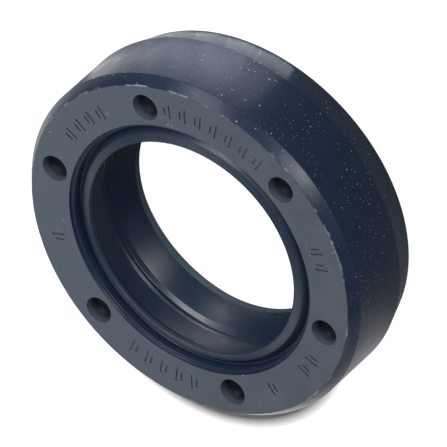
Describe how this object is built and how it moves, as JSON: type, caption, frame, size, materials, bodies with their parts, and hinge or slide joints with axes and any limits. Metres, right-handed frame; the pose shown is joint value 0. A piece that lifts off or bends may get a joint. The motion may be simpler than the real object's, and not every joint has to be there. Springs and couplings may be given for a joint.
{
  "type": "radial shaft seal",
  "caption": "Rotary shaft seal with a rubber-covered outside, a spring-loaded main lip, a dust lip and blind dimples round its air-side face.",
  "frame": {"origin": "centre of the oil-side end, on the shaft axis", "axes": "+Z along the shaft axis, from the oil side towards the air side; +X through one of the dimples"},
  "size_m": [0.024, 0.024, 0.007],
  "materials": {
    "seal_rubber": "satin moulded rubber, dark blue",
    "insert_steel": "phosphated, matt grey",
    "spring_steel": "drawn wire, semi-bright"
  },
  "bodies": {
    "root": {"rubber_body": "seal_rubber", "steel_insert": "insert_steel", "garter_spring": "spring_steel"}
  },
  "joints": []
}
